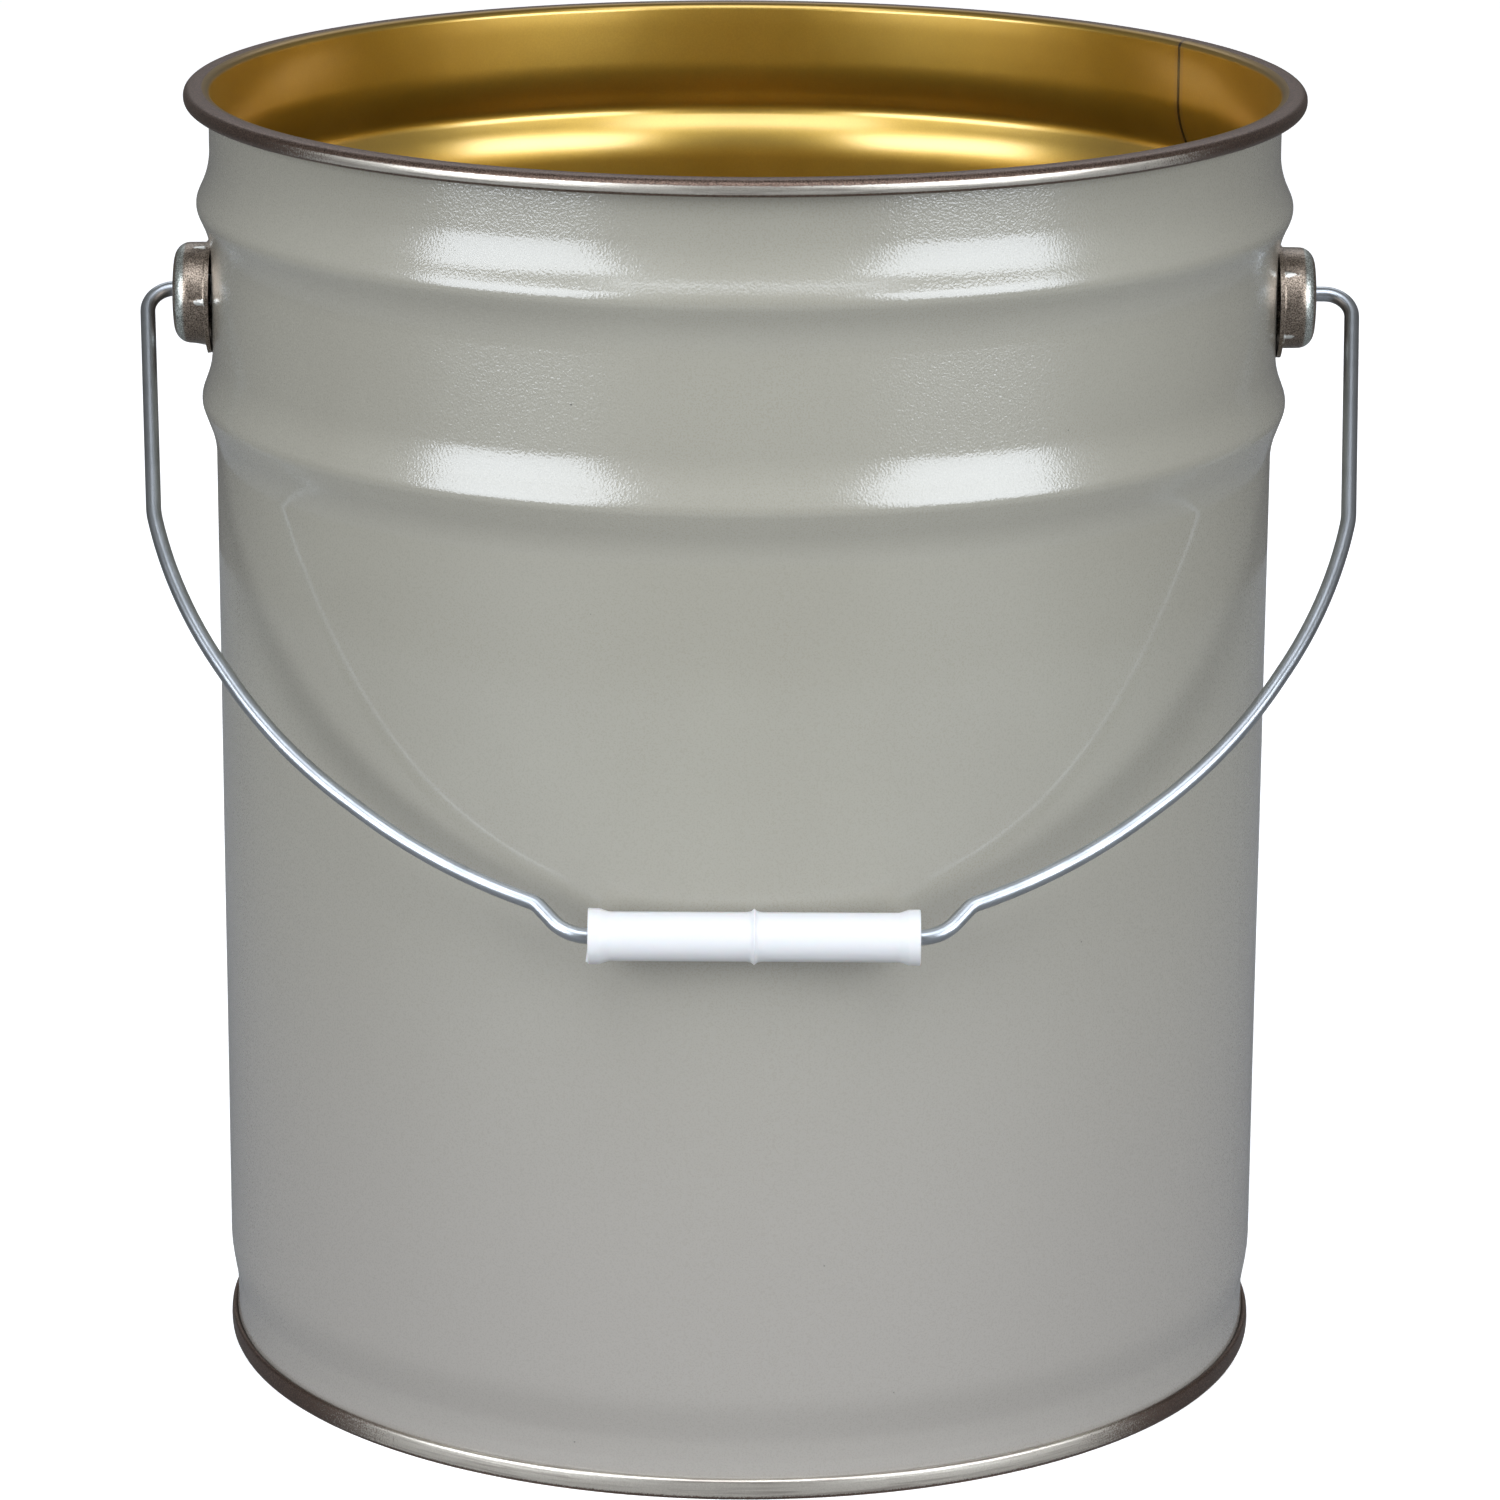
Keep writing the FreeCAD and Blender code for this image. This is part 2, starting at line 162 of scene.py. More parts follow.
# how far the sheets stray from true turned shapes
WALL_WAVE = 0.05 * MM
WALL_WAVE_LENGTH = 55.0 * MM
SEAM_BARREL = 0.30 * MM
SEAM_BARREL_STATIONS = (0.82, 0.7, 0.6, 0.5, 0.4, 0.3)


# ---------------------------------------------------------------- outlines

def turned(direction, angle):
    """The 2-D direction turned anticlockwise."""
    return Matrix.Rotation(angle, 2) @ direction


def left_of(direction):
    return Vector((-direction.y, direction.x))


def spaced(start, end, step):
    """Points from start up to, but not with, end, at most step apart."""
    count = max(1, math.ceil((end - start).length / step))
    return [start.lerp(end, i / count) for i in range(count)]


def rounded_line(corners, run_step=RUN_STEP):
    """Samples (point, direction) of straight runs joined by tangent arcs. A corner is (u, v, rounding)."""
    samples = []
    start = Vector(corners[0][:2])
    for before, corner, after in zip(corners, corners[1:], corners[2:]):
        here = Vector(corner[:2])
        into = (here - Vector(before[:2])).normalized()
        out = (Vector(after[:2]) - here).normalized()
        turn = math.atan2(into.x * out.y - into.y * out.x, into.dot(out))
        radius = corner[2]
        arc_start = here - into * radius * math.tan(abs(turn) / 2)
        samples += [(point, into) for point in spaced(start, arc_start, run_step)]
        side = math.copysign(radius, turn)
        centre = arc_start + left_of(into) * side
        count = max(1, math.ceil(max(abs(turn) / TURN_STEP, radius * abs(turn) / ARC_STEP)))
        for i in range(count):
            direction = turned(into, turn * i / count)
            samples.append((centre - left_of(direction) * side, direction))
        start = centre - left_of(out) * side
    end = Vector(corners[-1][:2])
    direction = (end - start).normalized()
    samples += [(point, direction) for point in spaced(start, end, run_step)]
    samples.append((end, direction))
    return samples


def sheet_outline(samples, thickness):
    """Closed outline of a bent sheet as (point, side): up its left side, +1, and down its right side, -1."""
    outline = []
    for side in (1, -1):
        for point, direction in samples[::side]:
            outline.append((point + left_of(direction) * side * thickness / 2, side))
    return outline


# ---------------------------------------------------------------- meshes

def add_mesh(name, vertices, faces, slots, materials):
    """A smooth-shaded object with one material slot index per face."""
    mesh = bpy.data.meshes.new(name)
    mesh.from_pydata(vertices, [], faces)
    for material in materials:
        mesh.materials.append(material)
    mesh.polygons.foreach_set("material_index", slots)
    mesh.polygons.foreach_set("use_smooth", [True] * len(mesh.polygons))
    mesh.set_sharp_from_angle(angle=SHARP_ANGLE)
    mesh.validate()
    piece = bpy.data.objects.new(name, mesh)
    bpy.context.scene.collection.objects.link(piece)
    return piece


def skin(name, rings, strip_slots, materials):
    """Faces between neighbouring rings of points. The last ring joins the first. A ring of one point is a
    pole."""
    vertices = []
    firsts = []
    for ring in rings:
        firsts.append(len(vertices))
        vertices += ring
    faces = []
    slots = []
    for i, ring in enumerate(rings):
        j = (i + 1) % len(rings)
        sides = max(len(ring), len(rings[j]))
        for k in range(sides):
            here = [firsts[i] + k % len(ring), firsts[i] + (k + 1) % sides % len(ring)]
            there = [firsts[j] + (k + 1) % sides % len(rings[j]), firsts[j] + k % len(rings[j])]
            face = list(dict.fromkeys(here + there))
            if len(face) > 2:
                faces.append(face)
                slots.append(strip_slots[i])
    return add_mesh(name, vertices, faces, slots, materials)


def azimuths(count, refined_at=(), offsets=()):
    """Evenly spaced angles, with more of them around the refined ones in place of those close by."""
    angles = [math.tau * i / count for i in range(count)]
    extra = [(angle + offset) % math.tau for angle in refined_at for offset in offsets]
    gap = math.tau / count / 8
    kept = [angle for angle in angles if all(abs(angle - other) > gap for other in extra)]
    return sorted(kept + extra)


def bell(distance, width):
    """A smooth bump that is 1 at no distance and about 0 beyond twice the width."""
    return math.exp(-(distance / width) ** 2)


def angle_between(a, b):
    return abs((a - b + math.pi) % math.tau - math.pi)


# ---------------------------------------------------------------- body and bottom

def seam_layers():
    """Middle radii of the five layers of the double seam, from the outside in."""
    pitch = END_SHEET / 2 + SEAM_GAP + BODY_SHEET / 2
    seaming_wall = SEAM_OUTER_RADIUS - END_SHEET / 2
    return [seaming_wall - i * pitch for i in range(5)]


def hoop_corners(middle_z, rise, slope, below, above):
    base = BODY_RADIUS - BODY_SHEET / 2
    return [
        (base + below, middle_z - (rise - below) / slope, FLANK_ROUNDING),
        (base + rise, middle_z, CREST_ROUNDING),
        (base + above, middle_z + (rise - above) / slope, FLANK_ROUNDING),
    ]


def curl_corners():
    neck = BODY_RADIUS + NECK_RISE - BODY_SHEET / 2
    outside = CURL_OUTER_RADIUS - BODY_SHEET / 2
    lip = neck + BODY_SHEET + CURL_LIP_GAP
    top = PAIL_HEIGHT - BODY_SHEET / 2
    bottom = PAIL_HEIGHT - CURL_HEIGHT + BODY_SHEET / 2
    shoulder = 1.75 * MM
    crown_rounding = 8.0 * MM
    crown_flattening = 0.1 * MM
    lip_bend = 1.1 * MM
    return [
        (neck, top - CURL_DROP, shoulder),
        ((neck + outside) / 2, top + crown_flattening, crown_rounding),
        (outside, top - CURL_DROP, shoulder),
        (outside, bottom, shoulder),
        (lip, bottom, lip_bend),
        (lip, bottom + CURL_LIP_RISE, 0),
    ]


def body_corners():
    _, body_hook, _, body_wall, _ = seam_layers()
    hook_bottom = END_SHEET + COMPOUND_HEIGHT + BODY_SHEET / 2
    base = BODY_RADIUS - BODY_SHEET / 2
    neck_in = NECK_IN_RADIUS - BODY_SHEET / 2
    flare_bottom = SEAM_HEIGHT + 1.0 * MM
    flare_top = SEAM_HEIGHT + 4.0 * MM
    flare_bends = (3.0 * MM, 8.0 * MM)
    neck_in_bends = (20.0 * MM, 40.0 * MM)
    foot = [
        (body_hook, HOOK_OVERLAP_TOP, 0),
        (body_hook, hook_bottom, HOOK_BEND),
        (body_wall, hook_bottom, HOOK_BEND),
        (body_wall, flare_bottom, flare_bends[0]),
        (neck_in, flare_top, flare_bends[1]),
        (neck_in, NECK_IN_BOTTOM_Z, neck_in_bends[0]),
        (base, NECK_IN_TOP_Z, neck_in_bends[1]),
        (base, 3 * NECK_IN_TOP_Z, neck_in_bends[1]),
    ]
    lower = hoop_corners(LOWER_HOOP_Z, LOWER_HOOP_RISE, LOWER_FLANK_SLOPE, WALL_TOP_RISE, WAIST_RISE)
    upper = hoop_corners(UPPER_HOOP_Z, UPPER_HOOP_RISE, UPPER_FLANK_SLOPE, WAIST_RISE, NECK_RISE)
    return foot + lower + upper + curl_corners()


def wall_offset(point, azimuth, side):
    """How far a point of the body's wall strays outwards: a slow wave, and the side weld standing proud.
    Both fade out towards the neck-in and the curl."""
    z = point.y
    fade_in, fade_out = 20 * MM, 15 * MM
    fade_end = PAIL_HEIGHT - 8 * MM
    free = min(1.0, max(0.0, (z - NECK_IN_TOP_Z) / fade_in), max(0.0, (fade_end - z) / fade_out))
    if free == 0.0:
        return 0.0
    wave_at = Vector((math.cos(azimuth), math.sin(azimuth), 0)) * BODY_RADIUS + Vector((0, 0, z))
    wave = noise.noise(wave_at / WALL_WAVE_LENGTH) * WALL_WAVE
    from_weld = angle_between(azimuth, WELD_AZIMUTH) * BODY_RADIUS
    weld = -side * WELD_RISE * bell(from_weld, WELD_HALF_WIDTH)
    return free * (wave + weld)


def seam_barrel(point, azimuth, side):
    """The seaming roll leaves the seam's outer face a little barrelled."""
    if side == -1 or point.x < SEAM_OUTER_RADIUS - END_SHEET:
        return 0.0
    middle = SEAM_HEIGHT / 2
    return -SEAM_BARREL * ((point.y - middle) / middle) ** 2


def turned_sheet(name, corners, thickness, angles, slot_of, materials, offset):
    """A sheet section turned around the pail's axis. A section that ends on the axis closes in a pole."""
    outline = sheet_outline(rounded_line(corners), thickness)
    on_axis = 1e-7
    rings = []
    for point, side in outline:
        ring = []
        if point.x < on_axis:
            rings.append([(0.0, 0.0, point.y)])
            continue
        for angle in angles:
            radius = point.x + offset(point, angle, side)
            ring.append((radius * math.cos(angle), radius * math.sin(angle), point.y))
        rings.append(ring)
    strip_slots = [slot_of(*entry) for entry in outline]
    return skin(name, rings, strip_slots, materials)


def painted_body(paint, lacquer, rim_tin):
    """The body sheet: paint outside, gold lacquer inside and onto the crown, and bare tin on the outside of
    the curl."""
    bare_from = BODY_RADIUS + NECK_RISE + 1.7 * MM

    def slot_of(point, side):
        if side == -1:
            return 0
        on_curl = point.x > bare_from and point.y > PAIL_HEIGHT - 2 * CURL_HEIGHT
        return 2 if on_curl else 1

    weld_offsets = [i * WELD_HALF_WIDTH / BODY_RADIUS for i in (-2, -1, -0.5, 0, 0.5, 1, 2)]
    angles = azimuths(PAIL_STEPS, [WELD_AZIMUTH], weld_offsets)
    materials = [paint, lacquer, rim_tin]
    return turned_sheet("painted_body", body_corners(), BODY_SHEET, angles, slot_of, materials, wall_offset)


def bottom_panel(tin, lacquer):
    """The bottom: bare tin on its seam and underside, gold lacquer inside."""
    seaming_wall, _, end_hook, _, chuck_wall = seam_layers()
    top = SEAM_HEIGHT - END_SHEET / 2
    chuck_bend = 1.6 * MM
    corners = [
        (end_hook, HOOK_OVERLAP_BOTTOM, 0),
        (end_hook, top, HOOK_BEND),
        (seaming_wall, top, HOOK_BEND),
        *[(seaming_wall, SEAM_HEIGHT * share, 0) for share in SEAM_BARREL_STATIONS],
        (seaming_wall, END_SHEET / 2, SEAM_CORNER),
        (chuck_wall, END_SHEET / 2, SEAM_CORNER),
        (chuck_wall, PANEL_RECESS, chuck_bend),
        (PANEL_STEP_RADIUS + PANEL_BEND, PANEL_RECESS, PANEL_BEND),
        (PANEL_STEP_RADIUS, PANEL_FIELD_Z, PANEL_BEND),
        (PANEL_CENTRE_RADIUS + PANEL_STEP_WIDTH, PANEL_FIELD_Z, PANEL_BEND),
        (PANEL_CENTRE_RADIUS, PANEL_CENTRE_Z, PANEL_BEND),
        (0, PANEL_CENTRE_Z, 0),
    ]

    def slot_of(point, side):
        return 0 if side == 1 else 1

    angles = azimuths(PAIL_STEPS)
    return turned_sheet("bottom_panel", corners, END_SHEET, angles, slot_of, [tin, lacquer], seam_barrel)


# ---------------------------------------------------------------- ears

# little wedges pressed across the bend at a cup's foot, in degrees from the front upwards
RIGHT_GUSSETS = (37.5, -39.0, 128.0, 218.0)
LEFT_GUSSETS = (72.0, -0.7, -80.0, 180.0)
GUSSET_RISE = 0.7 * MM
GUSSET_HALF_ANGLE = math.radians(3.0)
GUSSET_LENGTH = 2.6 * MM
EAR_RUN_STEP = 0.6 * MM


def circle_reach(radius, rise, angle):
    """How far off the cup's axis a circle lies in one direction. Its middle is that rise above the axis."""
    return rise * math.sin(angle) + math.sqrt(radius ** 2 - (rise * math.cos(angle)) ** 2)


def stretched(reach, start, end, new_end):
    """A reach between start and end, moved in proportion when end moves to new_end."""
    share = (reach - start) / (end - start)
    return start + share * (new_end - start)


def ear(name, steel, side, gusset_degrees):
    """Pressed cup ear with an off-centre flange and hole. side is +1 on the +X side."""
    face_x = BODY_RADIUS + WAIST_RISE + EAR_HEIGHT - EAR_SHEET / 2
    flange_x = BODY_RADIUS + WAIST_RISE + EAR_FLANGE_GAP + EAR_SHEET / 2
    root = EAR_CUP_RADIUS - EAR_SHEET / 2
    hole = WIRE_RADIUS + PIVOT_CLEARANCE
    flange_end = EAR_FLANGE_RADIUS + EAR_FLANGE_DROP
    flange_start = EAR_CUP_RADIUS + 0.1 * MM
    face_bend = 20.0 * MM
    corners = [
        (face_x, hole, 0),
        (face_x, EAR_FLAT, face_bend),
        (face_x - EAR_DOME, root - EAR_CUP_TAPER, EAR_CORNER),
        (flange_x, root, EAR_FOOT_BEND),
        (flange_x, flange_end, 0),
    ]
    foot = Vector((flange_x + EAR_SHEET / 2, root + EAR_SHEET / 2))
    centre_z = PIVOT.z - PIVOT_RISE
    gussets = [math.radians(degrees) % math.tau for degrees in gusset_degrees]
    offsets = [GUSSET_HALF_ANGLE * i / 2 for i in range(-4, 5)]
    angles = azimuths(EAR_STEPS, gussets, offsets)
    out_of_foot = Vector((1, 1)).normalized()
    rings = []
    worn = []
    for point, outline_side in sheet_outline(rounded_line(corners, EAR_RUN_STEP), EAR_SHEET):
        ring = []
        for angle in angles:
            x, reach = point
            on_gusset = 0.0
            if outline_side == -1:
                across = min(angle_between(angle, gusset) for gusset in gussets)
                on_gusset = bell(across, GUSSET_HALF_ANGLE) * bell((point - foot).length, GUSSET_LENGTH)
                x, reach = point + out_of_foot * on_gusset * GUSSET_RISE
            worn.append(on_gusset)
            if reach > flange_start:
                edge = circle_reach(EAR_FLANGE_RADIUS, -EAR_FLANGE_DROP, angle)
                reach = stretched(reach, flange_start, flange_end, edge)
            if reach < EAR_FLAT:
                reach = stretched(reach, EAR_FLAT, hole, circle_reach(hole, PIVOT_RISE, angle))
            ring.append((side * x, PIVOT.y - reach * math.cos(angle), centre_z + reach * math.sin(angle)))
        rings.append(ring)
    cup = skin(name, rings, [0] * len(rings), [steel])
    cup.data.attributes.new("worn", "FLOAT", "POINT").data.foreach_set("value", worn)
    return cup


# ---------------------------------------------------------------- bail and grip

def in_bail_plane(across, reach, off=0.0):
    """A point of the hanging bail: across and away from the pivot axis, and off the bail's plane."""
    y = PIVOT.y - reach * math.sin(BAIL_TILT) - off * math.cos(BAIL_TILT)
    z = PIVOT.z - reach * math.cos(BAIL_TILT) + off * math.sin(BAIL_TILT)
    return (BAIL_MIDDLE_X + across, y, z)


def bow_corners():
    """Corners of the outline that wraps the bow's arc, from the leg's end to the knee."""
    leg, end = Vector(LEG_END), Vector(BOW_END)
    chord = (end - leg).length
    to_centre = left_of((end - leg).normalized())
    centre = (leg + end) / 2 + to_centre * math.sqrt(BOW_RADIUS ** 2 - (chord / 2) ** 2)
    first = math.atan2(leg.y - centre.y, leg.x - centre.x)
    step = 2 * math.asin(chord / 2 / BOW_RADIUS) / BOW_CORNERS
    outline_radius = BOW_RADIUS / math.cos(step / 2)
    corners = []
    for i in range(BOW_CORNERS):
        angle = first + (i + 0.5) * step
        corner = centre + Vector((math.cos(angle), math.sin(angle))) * outline_radius
        corners.append((corner.x, corner.y, BOW_RADIUS * BOW_FULLNESS))
    return corners


def bail_corners():
    shoulder = [(HEAD_ACROSS + HEAD_LENGTH, 0, 0), (HALF_SPAN, 0, SHOULDER_ROUNDING)]
    leg = [(*LEG_END, LEG_ROUNDING)]
    knee = [(*BOW_END, KNEE_ROUNDING[0]), (KNEE_ACROSS, GRIP_REACH, KNEE_ROUNDING[1])]
    half = shoulder + leg + bow_corners() + knee
    whole = half + [(-across, reach, rounding) for across, reach, rounding in reversed(half)]
    return [(across + BAIL_LEAN * reach / GRIP_REACH, reach, rounding) for across, reach, rounding in whole]


def head_rings(across, direction):
    """Centres and radii of an upset head, from its inner face to where the wire leaves it."""
    steps = 5
    inner = []
    for i in range(steps + 1):
        angle = math.pi / 2 * i / steps
        inset = HEAD_ROUNDING * (1 - math.sin(angle))
        inner.append((HEAD_ROUNDING * (1 - math.cos(angle)), HEAD_RADIUS - inset))
    outer = [(HEAD_LENGTH - depth, radius) for depth, radius in reversed(inner)]
    face = [(0.0, 0.0), (0.0, HEAD_RADIUS / 2)]
    rings = face + inner + outer
    return [(Vector((across + direction * depth, 0)), radius) for depth, radius in rings]


def wire_bail(zinc):
    """The bent wire, ring by ring along its middle line, with a head on each end."""
    along = Vector((1, 0))
    first_head = [(point, along, radius) for point, radius in head_rings(HEAD_ACROSS, 1)]
    last_head = [(point, -along, radius) for point, radius in reversed(head_rings(-HEAD_ACROSS, -1))]
    wire = [(point, direction, WIRE_RADIUS) for point, direction in rounded_line(bail_corners())]
    rings = []
    for point, direction, radius in first_head + wire + last_head:
        if radius == 0.0:
            rings.append([in_bail_plane(*point)])
            continue
        side = left_of(direction)
        if radius > WIRE_RADIUS and direction == -along:
            side = -side
        ring = []
        for k in range(WIRE_SIDES):
            angle = math.tau * k / WIRE_SIDES
            centre = point + side * radius * math.cos(angle)
            ring.append(in_bail_plane(centre.x, centre.y, radius * math.sin(angle)))
        rings.append(ring)
    return skin("wire_bail", rings, [0] * len(rings), [zinc])


# the mould's parting line along the grip, and the burr where one line meets the grip's left end
PARTING_RISE = 0.08 * MM
PARTING_HALF_ANGLE = math.radians(1.3)
PARTING_ANGLES = (math.radians(84.0), math.radians(264.0))
BURR_LENGTH = 0.6 * MM
BURR_DEPTH = 0.3 * MM
BORE_STATIONS = (-30.0 * MM, -10.0 * MM, 10.0 * MM, 30.0 * MM)


def grip_corners():
    """The grip's outline from the bore's end, over both collars and the ridge, to the bore's other end."""
    half_length = GRIP_LENGTH / 2
    bore = WIRE_RADIUS + GRIP_BORE_CLEARANCE
    flare_start = half_length - COLLAR_LENGTH
    collar_edge = 0.35 * MM
    collar_taper = 0.08 * MM
    collar_bend = 2.0 * MM
    tube_bend = 3.0 * MM
    ridge_half_width = 2.0 * MM
    ridge_flank = (0.75 * MM, GRIP_RADIUS + 0.22 * MM, 1.2 * MM)
    ridge_tip = (0, COLLAR_RADIUS + 0.04 * MM, 0.2 * MM)
    half = [
        (half_length, bore, 0),
        (half_length, COLLAR_RADIUS, collar_edge),
        (flare_start, COLLAR_RADIUS - collar_taper, collar_bend),
        (flare_start - COLLAR_FLARE, GRIP_RADIUS, tube_bend),
        (ridge_half_width, GRIP_RADIUS, tube_bend),
        ridge_flank,
    ]
    return half + [ridge_tip] + [(-across, radius, rounding) for across, radius, rounding in reversed(half)]


def hand_grip(plastic):
    """Moulded tube with flared collars, a pointed ridge, and the mould's parting line and burr."""
    offsets = [PARTING_HALF_ANGLE * i / 2 for i in range(-4, 5)]
    angles = azimuths(GRIP_STEPS, PARTING_ANGLES, offsets)
    outline = [point for point, _ in rounded_line(grip_corners())]
    bore = [Vector((across, outline[0].y)) for across in BORE_STATIONS]
    outside_from = GRIP_RADIUS - 0.2 * MM
    rings = []
    for point in outline + bore:
        outside = 1.0 if point.y > outside_from else 0.0
        at_end = bell(GRIP_LENGTH / 2 + point.x, BURR_DEPTH)
        ring = []
        for angle in angles:
            on_line = max(bell(angle_between(angle, line), PARTING_HALF_ANGLE) for line in PARTING_ANGLES)
            radius = point.y + outside * on_line * PARTING_RISE
            at_burr = bell(angle_between(angle, PARTING_ANGLES[1]), 3 * PARTING_HALF_ANGLE)
            across = point.x - outside * at_burr * at_end * BURR_LENGTH
            ring.append((GRIP_CENTRE.x + across, GRIP_CENTRE.y - radius * math.cos(angle),
                         GRIP_CENTRE.z + radius * math.sin(angle)))
        rings.append(ring)
    return skin("hand_grip", rings, [0] * len(rings), [plastic])


# ---------------------------------------------------------------- shader building

# a Mix node's sockets for colours, which share their names with its sockets for numbers
MIX_A, MIX_B, MIX_RESULT = 6, 7, 2


class Surface:
    """One material, with short calls that add a node and return its output."""

    def __init__(self, name):
        self.material = bpy.data.materials.new(name)
        self.material.use_nodes = True
        self.tree = self.material.node_tree
        self.shader = self.tree.nodes["Principled BSDF"]
        self.position = self.tree.nodes.new("ShaderNodeTexCoord").outputs["Object"]

    def add(self, kind, inputs, **settings):
        node = self.tree.nodes.new(kind)
        for key, value in settings.items():
            setattr(node, key, value)
        for key, value in inputs.items():
            self.feed(node.inputs[key], value)
        return node

    def feed(self, socket, value):
        """Links an output to the socket, or sets a number or a (red, green, blue) on it."""
        if isinstance(value, bpy.types.NodeSocket):
            self.tree.links.new(value, socket)
        elif socket.type == "RGBA":
            socket.default_value = (*value, 1.0)
        else:
            socket.default_value = value

    def set(self, **values):
        """Sets the shader's sockets: base_color=... is Base Color."""
        for key, value in values.items():
            name = key.replace("_", " ").title().replace("Ior", "IOR")
            self.feed(self.shader.inputs[name], value)

    def math(self, operation, a, b=0.0):
        return self.add("ShaderNodeMath", {0: a, 1: b}, operation=operation).outputs[0]

    def plus(self, a, b):
        return self.math("ADD", a, b)

    def times(self, a, b):
        return self.math("MULTIPLY", a, b)

    def larger(self, a, b):
        return self.math("MAXIMUM", a, b)

    def noise(self, size, detail=2.0, roughness=0.5, at=None):
        """Noise whose cells are about size across, in metres."""
        inputs = {"Vector": at or self.position, "Scale": 1 / size, "Detail": detail}
        return self.add("ShaderNodeTexNoise", {**inputs, "Roughness": roughness}).outputs["Fac"]

    def spots(self, size):
        """Distance from the nearest of scattered points, in cells of that size."""
        inputs = {"Vector": self.position, "Scale": 1 / size}
        return self.add("ShaderNodeTexVoronoi", inputs).outputs["Distance"]

    def rise(self, value, low, high):
        """0 below low, 1 above high, and smooth between. low may be above high."""
        inputs = {"Value": value, "From Min": low, "From Max": high}
        return self.add("ShaderNodeMapRange", inputs, interpolation_type="SMOOTHSTEP").outputs["Result"]

    def span(self, value, low, high):
        """A factor from 0 to 1, taken evenly to a number from low to high."""
        inputs = {"Value": value, "To Min": low, "To Max": high}
        return self.add("ShaderNodeMapRange", inputs).outputs["Result"]

    def mix(self, factor, a, b):
        """The colour a where the factor is 0 and b where it is 1."""
        inputs = {"Factor": factor, MIX_A: a, MIX_B: b}
        return self.add("ShaderNodeMix", inputs, data_type="RGBA").outputs[MIX_RESULT]

    def parts(self):
        """The position's x, y and z."""
        return self.add("ShaderNodeSeparateXYZ", {"Vector": self.position}).outputs

    def beside(self, start, end):
        """Rises from 0 to 1 with the distance from the plane x = 0, as a share of the body's radius."""
        return self.rise(self.math("ABSOLUTE", self.parts()["X"]), start * BODY_RADIUS, end * BODY_RADIUS)

    def drawn_streaks(self, along, across):
        """Noise drawn out round the pail. The two numbers scale it in the plane and in height."""
        inputs = {0: self.position, 1: (along, along, across)}
        drawn_out = self.add("ShaderNodeVectorMath", inputs, operation="MULTIPLY").outputs[0]
        return self.noise(1.0 * MM, 3.0, 0.6, drawn_out)

    def bump(self, height, distance, below=None):
        """A normal from a height of up to the distance, added to the bump below it."""
        inputs = {"Height": height, "Distance": distance, "Strength": 1.0}
        if below is not None:
            inputs["Normal"] = below
        return self.add("ShaderNodeBump", inputs).outputs["Normal"]

    def from_weld(self):
        """Distance round the wall from the side weld."""
        parts = self.parts()
        azimuth = self.math("ARCTAN2", parts["Y"], parts["X"])
        away = self.math("ABSOLUTE", self.math("SUBTRACT", azimuth, WELD_AZIMUTH))
        return self.times(away, BODY_RADIUS)


# ---------------------------------------------------------------- materials

# linear colours, and pairs of them between which a surface varies
PAINT_GREYS = ((0.285, 0.268, 0.219), (0.299, 0.283, 0.232))
PAINT_FLOOR_BOUNCE_GREY = (0.303, 0.279, 0.246)
PAINT_SPECK = (0.10, 0.095, 0.085)
BARE_MARGIN_GREYS = ((0.30, 0.29, 0.27), (0.42, 0.41, 0.38))
WELD_SCALE = (0.07, 0.055, 0.045)
LACQUER_GOLDS = ((0.53, 0.325, 0.028), (0.64, 0.398, 0.046))
LACQUER_GRAIN = (0.42, 0.24, 0.025)
LACQUER_HALO = (0.40, 0.24, 0.08)
LACQUER_SCORCH = (0.035, 0.018, 0.008)
LACQUER_RIM_BROWN = (0.13, 0.080, 0.030)
TIN_SILVERS = ((0.50, 0.455, 0.385), (0.86, 0.81, 0.72))
TIN_STREAK = (0.44, 0.39, 0.34)
TIN_BROWNS = ((0.036, 0.023, 0.017), (0.23, 0.160, 0.125))
EAR_BROWNS = ((0.085, 0.066, 0.050), (0.46, 0.375, 0.300))
EAR_STEELS = ((0.22, 0.235, 0.205), (0.80, 0.83, 0.78))
EAR_NICK = (0.74, 0.73, 0.68)
ZINC_BLUES = ((0.44, 0.465, 0.49), (0.36, 0.38, 0.40))
ZINC_DULL = (0.20, 0.21, 0.22)
PLASTIC_WHITE = (0.645, 0.64, 0.635)
PLASTIC_SCUFF = (0.54, 0.53, 0.52)
COMPOUND_GREYS = ((0.06, 0.06, 0.06), (0.14, 0.14, 0.13))
WHITE = (1.0, 1.0, 1.0)

PEEL_SIZE = 0.62 * MM
PEEL_DEPTH = 0.052 * MM
PEEL_ON_PLAIN_WALL = 0.12
MARGIN_HALF_WIDTH = 3.3 * MM
WELD_MARK_HALF_WIDTH = 0.35 * MM


